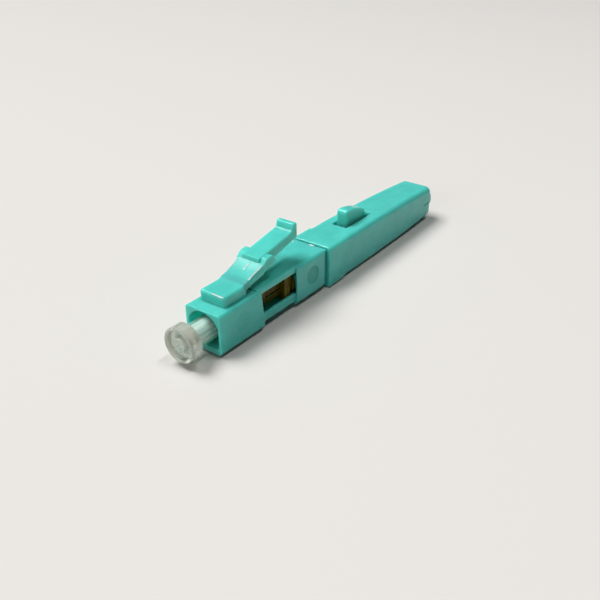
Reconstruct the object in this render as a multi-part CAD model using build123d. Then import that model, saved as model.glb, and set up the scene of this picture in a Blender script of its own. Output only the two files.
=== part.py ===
from build123d import *
import os
from math import cos, radians, sin, tan

# Fibre plug with a flexing latch, fitted to a cable in the field, in millimetres.
# +X runs from the plug's front face to the tail, +Z is up, where the latch is.
# The origin is on the ferrule's axis, in the plane of the plug's front face.

# Running gaps and thin joints
slide_gap = 0.05
bond_gap = 0.01
hinge_gap = 0.03

# Plug housing, outside
plug_size = 4.52
front_len = 6.8
waist_len = 5.54
rear_len = 5.09
waist_inset = 0.21
waist_floor = 1.78
rear_width = 4.59
rear_floor = 2.16
roof_z = 2.43
front_lean = 0.45
front_round = 0.35
waist_round = 0.15
rear_round = 0.45
rear_bevel = 0.15

# Plug housing, inside
arch_r = 2.05
arch_half = 1.95
arch_floor = 1.65
mouth_round = 0.4
mouth_bevel = 0.08
bevel_angle = 45
arch_back = 2.4
partition = 0.8
waist_wall = 0.33
rear_wall = 0.36
chamber_floor = 1.42
chamber_roof = 1.95
window_floor = 0.82
window_top = 1.75
window_pocket = 0.3
mark_r = 1.1
mark_depth = 0.08
mark_back = 2.3
mark_z = 0.3

# Latch
pad_start = 1.5
pad_half = 1.65
pad_top = 3.45
pad_flat_end = 4.1
latch_root_x = 4.75
hinge_x = 4.95
hinge_z = 3.24
hinge_r = 0.29
rise_mid = (6.1, 4.05)
rise_end = (7.45, 4.62)
arm_step = 0.45
arm_half = 1.15
arm_thick = 1.05
lip_x = 13.05
lip_len = 0.85
lip_top = 6.8
arm_slope = 10.0
arm_under_start = (9.75, 4.27)
rise_under_mid = (7.95, 3.72)
latch_under_drop = 0.1
latch_edge_round = 0.3
lip_lean = 0.2
lip_round = 0.2
flare_start = 6.1
ear_half = 1.78
ear_front = 7.95
ear_rear = 9.45
ear_top = 5.2
ear_floor = 4.12
ear_lead = 0.1
ear_foot = 0.4
ear_fall = 0.12
ear_round = 0.2

# Ferrule and its metal flange
ferrule_r = 0.6245
ferrule_len = 6.5
ferrule_out = 1.9
ferrule_bevel = 0.14
fibre_r = 0.0625
fibre_end_in_splice = 2.2
flange_barrel_r = 1.1
flange_barrel_out = 1.5
flange_collar_r = 1.37
flange_collar_len = 0.6
flange_spigot_r = 0.95
flange_spigot_len = 1.2
float_travel = 0.6

# Dust cap
cap_head_r = 1.95
cap_head_len = 1.46
cap_head_back = 2.06
cap_rim_round = 0.12
cap_tube_r = 1.34
cap_bore_r = 0.7
cap_gap = 0.3
cap_ring_in = 0.8
cap_ring_out = 1.62
cap_ring_deep = 0.45

# Splice: a grooved base, two covers, two clips and the funnel that the fibre enters by
splice_half = 0.85
splice_floor = 0.87
splice_cover_top = 0.75
cover_round = 0.18
seam_half = 0.03
socket_r = 1.37
splice_reach = 4.2
strip_len = 0.35
strip_gap = 0.12
strip_half = 1.6
strip_floor = 1.25
strip_top = 1.55
boss_len = 0.65
boss_half = 1.2
seat_r = 1.62
seat_len = 0.3
tail_stem_r = 1.0
tail_stem_len = 3.6
fibre_hole_r = 0.2
clip_thick = 0.12
clip_front_len = 0.75
clip_rear_len = 2.6
clip_inset = 0.5
funnel_r = 0.75
funnel_len = 1.5
funnel_mouth_r = 0.55
funnel_throat_r = 0.12

# Return spring
spring_mean_r = 1.43
spring_wire_r = 0.13
spring_wire_sides = 4
spring_turns = 4

# Inner body
spigot_len = 1.5
body_bore_r = 1.25
neck_len = 0.47
neck_half = 2.1
neck_floor = 2.0
neck_top = 2.24
trunk_len = 3.3
trunk_half = 1.95
trunk_floor = 1.72
trunk_top = 1.7
channel_r = 0.7
trough_len = 11.8
trough_half = 1.3
trough_wall = 0.35
trough_floor = 0.95
trough_top = 1.0

# Release button, a tongue hinged at its rear
button_back = 5.85
button_len = 4.15
button_half = 0.76
button_top = 4.3
button_rear_top = 3.25
button_round = 0.5
button_lean = 0.14
button_edge = 0.3
tongue_half = 0.95
tongue_thick = 0.5
tongue_top = 1.68
tongue_pivot_back = 7.0
pivot_r = 0.25

# Cable clamp, two toothed half shells
clamp_len = 4.2
clamp_half = 1.6
clamp_height = 1.35
clamp_bore_r = 1.0
clamp_tooth = 0.16
clamp_teeth = 3
clamp_split = 0.12
clamp_start_gap = 0.15

# Tail sleeve
collar_len = 3.05
collar_width = 5.28
collar_top = 2.52
collar_floor = 2.53
collar_round = 0.42
collar_bevel = 0.1
sleeve_wall = 0.45
sleeve_end_round = 0.55
end_steps = 4
sleeve_end_wall = 2.6
cable_r = 1.05
outlet_half = 2.0
outlet_height = 1.3
outlet_round = 1.2
outlet_len = 0.45
slot_front_gap = 0.35
slot_rear_gap = 0.8
slot_half = 1.05
slot_corner = 0.2
slit_len = 2.0
slit_height = 0.14
slit_depth = 0.2
slit_z = -0.12

# Sleeve's sections: place from the collar's front, half width, top, floor, corner
sleeve_profile = (
    (0.0, 2.56, 2.475, 2.43, 0.6),
    (6.0, 2.56, 2.475, 2.43, 0.6),
    (10.0, 2.53, 2.45, 2.43, 0.66),
    (13.0, 2.49, 2.41, 2.43, 0.7),
    (16.0, 2.44, 2.33, 2.41, 0.73),
    (19.0, 2.375, 2.2, 2.36, 0.76),
    (21.2, 2.315, 2.09, 2.26, 0.78),
    (23.2, 2.26, 1.97, 2.12, 0.8),
)

# Places worked out from the sizes above
housing_len = front_len + waist_len + rear_len
waist_half = plug_size / 2 - waist_inset
waist_end = front_len + waist_len
arch_depth = front_len - arch_back
cap_reach = arch_depth - flange_barrel_out - cap_gap
neck_end = front_len + splice_reach
partition_rear = arch_depth + partition
collar_x = housing_len + neck_len
sleeve_stations = [(collar_x + station[0], *station[1:]) for station in sleeve_profile]
sleeve_end = sleeve_stations[-1][0] + sleeve_end_round
sleeve_end_half = sleeve_stations[-1][1]
cavity_end = sleeve_end - sleeve_end_wall
room_start = collar_x + collar_len + sleeve_wall
chamber_half = waist_half - waist_wall
rear_chamber_half = rear_width / 2 - rear_wall
collar_face = partition_rear + slide_gap
spigot_x = collar_face + flange_collar_len
socket_end = spigot_x + flange_spigot_len
strips_end = neck_end + 2 * strip_len + strip_gap
seat_x = strips_end + boss_len
stem_x = seat_x + seat_len
stem_end = stem_x + tail_stem_len
inner_front = housing_len - spigot_len
trunk_end = collar_x + trunk_len
trough_end = trunk_end + trough_len
button_front = collar_x + button_back
pivot_x = button_front + tongue_pivot_back
pivot_z = tongue_top - tongue_thick / 2
slot_front = button_front - slot_front_gap
slot_rear = button_front + button_len + slot_rear_gap
clamp_x = trough_end + clamp_start_gap
rise_start = (pad_flat_end, pad_top)
arm_front = (rise_end[0] + slide_gap, rise_end[1] + arm_step)


def block(x0, x1, half_y, z0, z1):
    """Box from x0 to x1 and z0 to z1, centred on y = 0."""
    middle = ((x0 + x1) / 2, 0, (z0 + z1) / 2)
    return Pos(*middle) * Box(x1 - x0, 2 * half_y, z1 - z0)


def rod(x0, x1, radius):
    """Round bar along X, from x0 to x1."""
    return extrude(Plane.YZ.offset(x0) * Circle(radius), amount=x1 - x0)


def along_x(section, x0, x1):
    """Sweep a section, drawn with y across and z up, from x0 to x1."""
    return extrude(Plane.YZ.offset(x0) * section, amount=x1 - x0)


def across_y(outline, half_y):
    """Sweep a side outline, drawn in x and z, to both sides of y = 0."""
    return extrude(Plane.XZ * outline, amount=half_y, both=True)


def turned(points):
    """Turn a half outline of (x, radius) points about the X axis."""
    return revolve(Plane.XZ * make_face(Polyline(points, close=True)), Axis.X, 360)


def long_edges(solid):
    """Straight edges that run along X."""
    return solid.edges().filter_by(Axis.X)


def plug_housing():
    """Housing of the plug, open at the front, with side windows and the latch's pad."""
    half = plug_size / 2
    front_top = front_len - front_lean
    outline = Polyline(
        (0, -half), (front_len, -half), (front_top, half), (0, half), close=True)
    front = fillet(long_edges(across_y(make_face(outline), half)), front_round)
    pad = pad_and_rise() & block(0, hinge_x, pad_half, 0, lip_top)
    pad_front = pad.faces().sort_by(Axis.X)[0].edges().sort_by(Axis.Z)
    body = rear_shell() + front + fillet(pad_front[1:], latch_edge_round)
    body -= socket_cavity()
    body -= rod(0, partition_rear, flange_barrel_r + slide_gap)
    body -= block(partition_rear, waist_end, chamber_half, -chamber_floor, chamber_roof)
    rear_room = rear_floor - rear_wall
    body -= block(waist_end, housing_len, rear_chamber_half, -rear_room, chamber_roof)
    body -= hinge_barrel(hinge_r + hinge_gap, pad_half + slide_gap)
    return body - ejector_marks()


def rear_shell():
    """Waist and rear of the housing, before they are hollowed, with the side windows."""
    start = front_len - front_lean - front_round
    waist = block(start, waist_end, waist_half, -waist_floor, roof_z)
    waist = fillet(long_edges(waist), waist_round)
    rear = block(waist_end, housing_len, rear_width / 2, -rear_floor, roof_z)
    rear = fillet(long_edges(rear), rear_round)
    rear = chamfer(rear.faces().sort_by(Axis.X)[-1].edges(), rear_bevel)
    window_end = waist_end + window_pocket
    return waist + rear - block(start, window_end, waist_half, -window_floor, window_top)


def socket_cavity():
    """Mouth of the plug: round above the axis and squared below it."""
    arch = Circle(arch_r)
    below = Pos(0, -arch_floor / 2) * Rectangle(2 * arch_half, arch_floor)
    above = Pos(0, arch_r / 2) * Rectangle(2 * arch_half, arch_r)
    lower = Pos(0, -arch_r) * Rectangle(3 * arch_r, 2 * (arch_r - arch_floor))
    mouth = (arch & (above + below)) + below - lower
    mouth = fillet(mouth.vertices().sort_by(Axis.Y)[:2], mouth_round)
    rim = Plane.YZ * offset(mouth, mouth_bevel)
    return along_x(mouth, 0, arch_depth) + extrude(rim, amount=mouth_bevel, taper=bevel_angle)


def ejector_marks():
    """Shallow round marks that the mould's pins leave on both rear sides."""
    place = (housing_len - mark_back, 0, mark_z)
    across = Plane(origin=place, z_dir=(0, 1, 0)) * Circle(mark_r)
    through = extrude(across, amount=rear_width, both=True)
    return through - Box(2 * sleeve_end, rear_width - 2 * mark_depth, 2 * sleeve_end)


def latch_outline():
    """Side outline of the pad and the latch that rises from it."""
    rise = tan(radians(arm_slope))
    lip_end = lip_x + lip_len
    arm_top_end = (lip_x, arm_front[1] + rise * (lip_x - arm_front[0]))
    arm_under_end = (lip_end, arm_top_end[1] + rise * lip_len - arm_thick)
    root_under = (latch_root_x, hinge_z - hinge_r - latch_under_drop)
    outline = make_face(
        [
            Line((pad_start, plug_size / 2), (pad_start, pad_top)),
            Line((pad_start, pad_top), rise_start),
            ThreePointArc(rise_start, rise_mid, rise_end),
            Line(rise_end, arm_front),
            Line(arm_front, arm_top_end),
            Line(arm_top_end, (lip_x + lip_lean, lip_top)),
            Line((lip_x + lip_lean, lip_top), (lip_end, lip_top)),
            Line((lip_end, lip_top), arm_under_end),
            Line(arm_under_end, arm_under_start),
            Line(arm_under_start, rise_under_mid),
            Line(rise_under_mid, (hinge_x, hinge_z - hinge_r)),
            Line((hinge_x, hinge_z - hinge_r), root_under),
            Line(root_under, (latch_root_x, plug_size / 2)),
            Line((latch_root_x, plug_size / 2), (pad_start, plug_size / 2)),
        ]
    )
    outline = fillet(outline.vertices().sort_by(Axis.Y)[-2:], lip_round)
    foot = [v for v in outline.vertices() if abs(v.X - lip_x) < bond_gap]
    return fillet(foot, 2 * lip_round)


def latch_solid(half_y):
    """Latch and pad as one bar of even width."""
    return across_y(latch_outline(), half_y)


def hinge_barrel(radius, half_y):
    """Round root of the lever, across the pad."""
    across = Plane(origin=(hinge_x, 0, hinge_z), z_dir=(0, 1, 0)) * Circle(radius)
    return extrude(across, amount=half_y, both=True)


def pad_and_rise():
    """Wide front part of the latch, which flares out to the ears, with rounded rims."""
    ear_x = rise_end[0]
    corners = [(0, pad_half), (flare_start, pad_half), (ear_x, ear_half)]
    mirrored = [(x, -y) for x, y in reversed(corners)]
    plan = extrude(make_face(Polyline(*corners, *mirrored, close=True)), amount=lip_top)
    bar = latch_solid(ear_half) & plan
    sides = [face for face in bar.faces() if abs(face.normal_at().Y) > cos(radians(30))]
    rims = [edge for side in sides for edge in side.edges() if edge.center().Z >= pad_top]
    rims = [edge for edge in rims if edge.center().X < ear_x - bond_gap]
    return fillet(rims, latch_edge_round)


def latch_lever():
    """Lever that flexes at its root: rise, ears, arm and finger lip."""
    far = lip_x + 2 * lip_len
    rise = pad_and_rise() & block(hinge_x + hinge_gap, rise_end[0], ear_half, 0, lip_top)
    arm = latch_solid(arm_half) & block(rise_end[0], far, arm_half, 0, lip_top)
    barrel = hinge_barrel(hinge_r, pad_half)
    sides = arm.faces().filter_by(Axis.Y)
    rims = [edge for side in sides for edge in side.edges() if edge.center().X > ear_rear]
    tops = [edge for edge in rims if edge.center().Z > arm_front[1]]
    arm = chamfer(tops, lip_round / 2)
    return rise + arm + ears() + barrel


def ears():
    """Rounded shoulders, one each side, that hook behind the adapter's edge."""
    front = rise_end[0] - ear_lead
    outline = make_face(
        Polyline(
            (front, ear_floor - ear_foot),
            (front, rise_end[1] - ear_lead),
            (ear_front, ear_top - ear_fall),
            ((ear_front + ear_rear) / 2, ear_top),
            (ear_rear - ear_foot, ear_top - ear_fall),
            (ear_rear, ear_floor + ear_foot),
            (ear_rear, ear_floor + ear_fall),
            close=True,
        )
    )
    pair = across_y(outline, ear_half)
    return fillet(pair.edges().filter_by(Axis.Y).sort_by(Axis.X)[-3:], ear_round)


def dust_cap():
    """Clear cap: a thin tube over the ferrule with a round head to pull it by."""
    head_front = -cap_head_back - cap_head_len
    bore_end = -ferrule_out - 4 * slide_gap
    cap = turned(
        [
            (head_front, 0),
            (head_front, cap_ring_in),
            (head_front + cap_ring_deep, cap_ring_in),
            (head_front + cap_ring_deep, cap_ring_out),
            (head_front, cap_ring_out),
            (head_front, cap_head_r),
            (-cap_head_back, cap_head_r),
            (-cap_head_back, cap_tube_r),
            (cap_reach, cap_tube_r),
            (cap_reach, cap_bore_r),
            (bore_end, cap_bore_r),
            (bore_end, 0),
        ]
    )
    rims = cap.edges().filter_by(GeomType.CIRCLE)
    outer = [edge for edge in rims if abs(edge.radius - cap_head_r) < bond_gap]
    return chamfer(outer, cap_rim_round)


def ferrule():
    """Ceramic ferrule with a fine bore for the fibre and a funnel at its rear."""
    front = -ferrule_out
    rear = front + ferrule_len
    bore = fibre_r + bond_gap
    return turned(
        [
            (front, bore),
            (front, ferrule_r - ferrule_bevel),
            (front + 2 * ferrule_bevel, ferrule_r),
            (rear, ferrule_r),
            (rear, 4 * bore),
            (rear - 8 * bore, bore),
        ]
    )


def ferrule_flange():
    """Metal flange that holds the ferrule and stops against the partition."""
    ferrule_rear = ferrule_len - ferrule_out
    hold = ferrule_r + bond_gap
    return turned(
        [
            (arch_depth - flange_barrel_out, hold),
            (arch_depth - flange_barrel_out, flange_barrel_r),
            (collar_face, flange_barrel_r),
            (collar_face, flange_collar_r),
            (spigot_x, flange_collar_r),
            (spigot_x, flange_spigot_r),
            (socket_end, flange_spigot_r),
            (socket_end, fibre_hole_r),
            (ferrule_rear + bond_gap, fibre_hole_r),
            (ferrule_rear + bond_gap, hold),
        ]
    )


def fibre_stub():
    """Short length of bare fibre, from the ferrule's tip into the splice."""
    return rod(-ferrule_out, socket_end + fibre_end_in_splice, fibre_r)


def vee_groove(x0, x1):
    """Right-angled groove that the bare fibre lies in."""
    deep = (fibre_r + bond_gap) * 2**0.5
    vee = make_face(Polyline((-deep, 0), (deep, 0), (0, -deep), close=True))
    return along_x(vee, x0, x1)


def splice_base():
    """Lower half of the splice, with the socket for the flange and the spring's seat."""
    socket = rod(spigot_x, socket_end + strip_len, socket_r)
    socket -= rod(spigot_x, socket_end + bond_gap, flange_spigot_r + bond_gap)
    beam = block(socket_end, neck_end, splice_half, -splice_floor, -seam_half)
    base = socket + beam
    for strip in range(2):
        x0 = neck_end + strip * (strip_len + strip_gap)
        base += block(x0, x0 + strip_len, strip_half, -strip_floor, strip_top)
    waist = strip_half - strip_gap
    base += block(neck_end, strips_end, waist, strip_gap - strip_floor, strip_top - strip_gap)
    base += block(strips_end, seat_x, boss_half, -boss_half, boss_half)
    base += rod(seat_x, stem_x, seat_r)
    stem = rod(stem_x, stem_end, tail_stem_r)
    base += stem & block(stem_x, stem_end, tail_stem_r, -tail_stem_r, -seam_half)
    base -= rod(socket_end, stem_x, fibre_hole_r)
    base -= vee_groove(socket_end + strip_len, neck_end)
    return base - vee_groove(stem_x, stem_end)


def splice_cover_front():
    """Cover that presses the two bare fibre ends into the groove."""
    seam_top = fibre_r + bond_gap
    x0 = socket_end + strip_len + slide_gap
    cover = block(x0, neck_end - slide_gap, splice_half, seam_top, splice_cover_top)
    top_edges = long_edges(cover).group_by(Axis.Z)[-1]
    return fillet(top_edges, cover_round)


def splice_cover_rear():
    """Cover over the coated fibre, half round like the stem below it."""
    seam_top = fibre_r + bond_gap
    x0 = stem_x + slide_gap
    half = block(x0, stem_end, tail_stem_r, seam_top, tail_stem_r)
    return rod(x0, stem_end, tail_stem_r) & half


def splice_clip_front():
    """Square spring clip that holds the front cover down on the base."""
    inner_half = splice_half + bond_gap
    inner_low = splice_floor + bond_gap
    inner_high = splice_cover_top + bond_gap
    x0 = socket_end + strip_len + clip_inset / 2
    x1 = x0 + clip_front_len
    outer = block(
        x0, x1, inner_half + clip_thick, -inner_low - clip_thick, inner_high + clip_thick)
    outer = fillet(long_edges(outer), clip_thick)
    mouth = block(x0, x1, inner_half / 2, 0, inner_high + 2 * clip_thick)
    return outer - block(x0, x1, inner_half, -inner_low, inner_high) - mouth


def splice_clip_rear():
    """Round spring clip over the stem, split along its top."""
    x0 = stem_x + clip_inset
    x1 = x0 + clip_rear_len
    inner = tail_stem_r + bond_gap
    ring = rod(x0, x1, inner + clip_thick) - rod(x0, x1, inner)
    return ring - block(x0, x1, inner / 3, 0, inner + 2 * clip_thick)


def entry_funnel():
    """Funnel at the rear of the splice, which leads the fibre in."""
    return turned(
        [
            (stem_end, funnel_throat_r),
            (stem_end, funnel_r),
            (stem_end + funnel_len, funnel_r),
            (stem_end + funnel_len, funnel_mouth_r),
            (stem_end + funnel_len / 3, funnel_throat_r),
        ]
    )


def return_spring():
    """Coil spring that pushes the splice and the ferrule forward."""
    first = stem_x + spring_wire_r + hinge_gap
    last = inner_front - spring_wire_r - hinge_gap
    coil = Helix(
        pitch=(last - first) / spring_turns,
        height=last - first,
        radius=spring_mean_r,
        center=(first, 0, 0),
        direction=(1, 0, 0),
    )
    wire = RegularPolygon(spring_wire_r, spring_wire_sides)
    return sweep(Plane(origin=coil @ 0, z_dir=coil % 0) * wire, path=coil)


def inner_body():
    """Body that plugs into the housing, guides the splice and carries the button."""
    half = rear_chamber_half - hinge_gap
    floor = rear_floor - rear_wall - hinge_gap
    top = chamber_roof - hinge_gap
    body = block(inner_front, housing_len, half, -floor, top)
    body += block(housing_len, collar_x, neck_half, -neck_floor, neck_top)
    body += block(collar_x, trunk_end, trunk_half, -trunk_floor, trunk_top)
    outside = trough_half + trough_wall
    trough = block(trunk_end, trough_end, outside, -trough_floor - trough_wall, trough_top)
    trough -= block(trunk_end, trough_end, trough_half, -trough_floor, 2 * trough_top)
    body += trough
    body += block(pivot_x, trough_end, outside, trough_top, tongue_top)
    bore_end = stem_end + funnel_len + float_travel + 3 * slide_gap
    body -= rod(inner_front, bore_end, body_bore_r)
    body -= rod(bore_end, trunk_end, channel_r)
    return body - pivot_barrel(pivot_r + hinge_gap, tongue_half + hinge_gap)


def pivot_barrel(radius, half_y):
    """Round root of the button's tongue."""
    across = Plane(origin=(pivot_x, 0, pivot_z), z_dir=(0, 1, 0)) * Circle(radius)
    return extrude(across, amount=half_y, both=True)


def release_button():
    """Tongue with a domed button that stands up through the sleeve's slot."""
    rear = button_front + button_len
    low = tongue_top - tongue_thick
    crown_start = (button_front + button_lean, button_top)
    crown_end = (rear, button_rear_top)
    outline = make_face(
        [
            Line((button_front, low), crown_start),
            TangentArc(crown_start, crown_end, tangent=(1, 0)),
            Line(crown_end, (rear, low)),
            Line((rear, low), (button_front, low)),
        ]
    )
    outline = fillet(outline.vertices().sort_by(Axis.Y)[-2:], button_round)
    fin = across_y(outline, button_half)
    sides = fin.faces().filter_by(Axis.Y)
    rims = [edge for side in sides for edge in side.edges() if edge.center().Z > tongue_top]
    fin = fillet(rims, button_edge)
    tongue = block(button_front, pivot_x - hinge_gap, tongue_half, low, tongue_top)
    return fin + tongue + pivot_barrel(pivot_r, tongue_half)


def clamp_bore():
    """Bore between the clamp's halves, with a row of teeth that bite the jacket."""
    pitch = clamp_len / clamp_teeth
    points = [(clamp_x, 0)]
    for tooth in range(clamp_teeth):
        start = clamp_x + tooth * pitch
        points.append((start, clamp_bore_r))
        points.append((start + pitch - clamp_tooth, clamp_bore_r - clamp_tooth))
        points.append((start + pitch, clamp_bore_r - clamp_tooth))
    points.append((clamp_x + clamp_len, 0))
    return turned(points)


def cable_clamp(side):
    """One toothed half shell of the clamp: side is 1 for the upper, -1 for the lower."""
    section = RectangleRounded(2 * clamp_half, 2 * clamp_height, clamp_height / 2)
    shell = along_x(section, clamp_x, clamp_x + clamp_len) - clamp_bore()
    middle = side * (clamp_split / 2 + clamp_height)
    half = Pos(clamp_x + clamp_len / 2, 0, middle)
    return shell & half * Box(2 * clamp_len, 4 * clamp_half, 2 * clamp_height)


def sleeve_section(station, inset):
    """Rounded cross-section of the sleeve at one station, drawn in by inset."""
    x, half, top, floor, corner = station
    outline = RectangleRounded(2 * (half - inset), top + floor - 2 * inset, corner - inset)
    return Plane.YZ.offset(x) * Pos(0, (top - floor) / 2) * outline


def sleeve_shell():
    """Outside of the sleeve, swept through its stations and rounded off at its end."""
    x, *size = sleeve_stations[-1]
    end = []
    for step in range(end_steps + 1):
        angle = radians(90 * step / end_steps)
        place = x + sleeve_end_round * sin(angle)
        end.append(sleeve_section((place, *size), sleeve_end_round * (1 - cos(angle))))
    shell = loft([sleeve_section(station, 0) for station in sleeve_stations], ruled=True)
    return shell + loft(end, ruled=True)


def sleeve_room():
    """Room inside the sleeve for the trough, the button and the clamp."""
    sections = []
    for x, half, top, floor, corner in sleeve_stations:
        outline = Rectangle(2 * (half - sleeve_wall), top + floor - 2 * sleeve_wall)
        sections.append(Plane.YZ.offset(x) * Pos(0, (top - floor) / 2) * outline)
    room = loft(sections, ruled=True)
    return room & block(room_start, cavity_end, collar_width, -collar_width, collar_width)


def collar():
    """Square collar at the sleeve's front, with its edges broken."""
    body = block(collar_x, collar_x + collar_len, collar_width / 2, -collar_floor, collar_top)
    body = fillet(long_edges(body), collar_round)
    ends = body.faces().sort_by(Axis.X)
    return chamfer(ends[0].edges() + ends[-1].edges(), collar_bevel)


def tail_sleeve():
    """Sleeve over the inner body and the cable clamp, with a collar, slot and outlet."""
    lip = RectangleRounded(2 * outlet_half, 2 * outlet_height, outlet_round)
    lip = along_x(lip, sleeve_end - outlet_len, sleeve_end + outlet_len)
    body = sleeve_shell() + collar() + lip - sleeve_room()
    body -= block(
        collar_x,
        room_start,
        trunk_half + slide_gap,
        -trunk_floor - slide_gap,
        trunk_top + slide_gap,
    )
    body -= rod(cavity_end - sleeve_wall, sleeve_end + 2 * outlet_len, cable_r)
    slot = block(slot_front, slot_rear, slot_half, 0, 2 * collar_top)
    body -= fillet(slot.edges().filter_by(Axis.Z), slot_corner)
    slit_low = slit_z - slit_height / 2
    slit = block(sleeve_end - slit_len, sleeve_end, collar_width, slit_low, slit_low + slit_height)
    core = sleeve_end_half - slit_depth
    return body - (slit - block(collar_x, sleeve_end, core, -collar_floor, collar_top))


def build():
    """All pieces, by the name of the file that each one is written to."""
    return {
        "dust_cap": dust_cap(),
        "plug_housing": plug_housing(),
        "latch_lever": latch_lever(),
        "ferrule": ferrule(),
        "ferrule_flange": ferrule_flange(),
        "fibre_stub": fibre_stub(),
        "splice_base": splice_base(),
        "splice_cover_front": splice_cover_front(),
        "splice_cover_rear": splice_cover_rear(),
        "splice_clip_front": splice_clip_front(),
        "splice_clip_rear": splice_clip_rear(),
        "entry_funnel": entry_funnel(),
        "return_spring": return_spring(),
        "inner_body": inner_body(),
        "release_button": release_button(),
        "cable_clamp_upper": cable_clamp(1),
        "cable_clamp_lower": cable_clamp(-1),
        "tail_sleeve": tail_sleeve(),
    }


os.makedirs("parts", exist_ok=True)
for name, solid in build().items():
    export_step(solid, f"parts/{name}.step")
    print(name, round(solid.volume, 3))
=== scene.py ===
"""Looks of a fibre plug with a flexing latch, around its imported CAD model.

Metres, +X from the plug's front face to the tail, +Z up, origin on the ferrule's axis.
The finishes are node materials on Object coordinates, so they don't slide as the parts move.
"""

from math import cos, pi, radians, sin

import bmesh
import bpy
from bpy.props import FloatProperty, FloatVectorProperty, PointerProperty
from mathutils import Euler, Matrix, Vector


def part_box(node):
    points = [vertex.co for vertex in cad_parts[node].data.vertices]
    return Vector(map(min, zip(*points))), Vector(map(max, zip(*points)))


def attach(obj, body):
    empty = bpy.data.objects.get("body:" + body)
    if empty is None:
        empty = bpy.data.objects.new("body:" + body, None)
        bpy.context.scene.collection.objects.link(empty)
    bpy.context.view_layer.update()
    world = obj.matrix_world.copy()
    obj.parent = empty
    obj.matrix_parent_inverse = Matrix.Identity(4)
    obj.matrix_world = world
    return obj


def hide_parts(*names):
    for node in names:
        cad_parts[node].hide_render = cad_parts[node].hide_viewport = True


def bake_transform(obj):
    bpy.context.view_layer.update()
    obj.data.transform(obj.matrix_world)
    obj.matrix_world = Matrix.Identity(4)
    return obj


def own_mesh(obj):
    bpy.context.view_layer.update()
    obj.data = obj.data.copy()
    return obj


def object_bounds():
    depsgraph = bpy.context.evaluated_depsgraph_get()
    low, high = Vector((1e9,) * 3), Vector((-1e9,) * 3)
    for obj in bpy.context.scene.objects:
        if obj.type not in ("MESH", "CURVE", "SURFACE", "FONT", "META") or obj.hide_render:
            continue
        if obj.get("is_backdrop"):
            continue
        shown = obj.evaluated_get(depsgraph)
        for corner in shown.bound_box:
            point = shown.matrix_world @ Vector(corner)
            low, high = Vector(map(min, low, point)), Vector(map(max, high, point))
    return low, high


bl_info = {
    "name": "Fibre plug looks",
    "version": (1, 0, 0),
    "blender": (4, 5, 0),
    "location": "3D View > Sidebar > Fibre plug",
    "description": "Finishes, spring, mould details and stage of a fibre plug",
    "category": "Object",
}

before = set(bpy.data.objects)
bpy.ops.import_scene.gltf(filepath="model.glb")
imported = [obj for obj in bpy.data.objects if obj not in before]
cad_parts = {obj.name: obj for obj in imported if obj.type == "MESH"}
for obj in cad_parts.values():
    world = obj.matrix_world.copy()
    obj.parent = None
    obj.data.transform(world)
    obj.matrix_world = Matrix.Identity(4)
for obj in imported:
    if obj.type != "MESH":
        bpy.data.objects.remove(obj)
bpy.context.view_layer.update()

MM = 0.001

MOULDED_NODES = (
    "plug_housing",
    "latch_lever",
    "inner_body",
    "release_button",
    "tail_sleeve",
    "cable_clamp_upper",
    "cable_clamp_lower",
)
SPLICE_NODES = ("splice_base", "splice_cover_front", "splice_cover_rear", "entry_funnel")
CLIP_NODES = ("splice_clip_front", "splice_clip_rear")
MOULDED_NAME = "moulded_aqua_plastic"

# Places and sizes from here to MARK_RIM are in millimetres and follow the CAD model.
# Outline of the latch: x and height of three points on its rise, half widths and rounding
RISE_START = (4.1, 3.45)
RISE_MIDDLE = (6.1, 4.05)
RISE_END = (7.45, 4.62)
LATCH_HALF = 1.65
LATCH_ROUND = 0.3
FLARE_START = 6.1
EAR_HALF = 1.78
# Front edge of the latch's pad: its rounding as x, z and radius, and directions on it
PAD_EDGE = (1.8, 3.15, 0.3)
PAD_OUTWARD = (-0.6, 0.0, 0.8)
PAD_SIDEWAYS = (0.8, 0.0, 0.6)
# Low ridges, pale as a painted highlight: their ends, along x on the rise and along y on the pad,
# and their steps
MIDDLE_RIDGE = (6.2, 7.15)
MIDDLE_RIDGE_Y = -0.1
RIM_RIDGE = (5.3, 7.4)
RIM_LEAN = radians(30.0)
PAD_RIDGE = (-1.46, 0.07)
RIDGE_STEPS = 24
RIDGE_ARC_STEPS = 10
# Low dome on the neck, pale as a painted highlight: its place, half sizes and steps
NECK_DOME_PLACE = (17.7, -0.21, 2.24)
NECK_DOME_HALF = (0.14, 0.42)
NECK_DOME_TURN_STEPS = 24
NECK_DOME_RISE_STEPS = 8
# How deep the ridges and the neck's dome are rooted in the surface
ROOT_DEPTH = 0.4
# Skin over the latch's root: where it bends, how far it runs on, and how deep it goes
SKIN_FLAT = (4.78, 5.16)
SKIN_MELT = 0.3
SKIN_DEPTH = 0.5
SKIN_SIDE = 0.62
SKIN_STEPS = 40
SKIN_CORNER_STEPS = 8
# Round marks on the sides as x, z and radius, each with its strength. Both pairs are darkened with
# painted shade; the rear pair is sunk in the CAD model, the front pair is only a tone.
SIDE_MARKS = (((15.13, 0.3, 1.1), 1.0), ((3.4, 0.1, 1.1), 0.3))
MARK_RIM = 0.1

# Places where a finish changes, in metres: where the change starts and where it ends
SLEEVE_TOP = (0.0018, 0.002)
OUTER_SIDES = (0.0019, 0.002)
CAP_TUBE = (-0.0021, -0.0019)
SPLICE_SIDES = (0.00095, 0.0009)

# Ends of the middle part of a noise's values, and of the part that makes dust
NOISE_LOW, NOISE_HIGH = 0.3, 0.7
DUST_RANGE = (0.4, 0.8)
# Samples of the nodes that look round a place, for its edges and its walls
SHADER_SAMPLES = 6
# Cosine between the rounded and the plain normal, where an edge begins and on the edge
EDGE_FACING = (0.99, 0.78)
# Rounding that the light sees on ground or turned pieces and on the splice, in metres
FINE_EDGE = 0.00003
AMBER_EDGE = 0.00006
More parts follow.
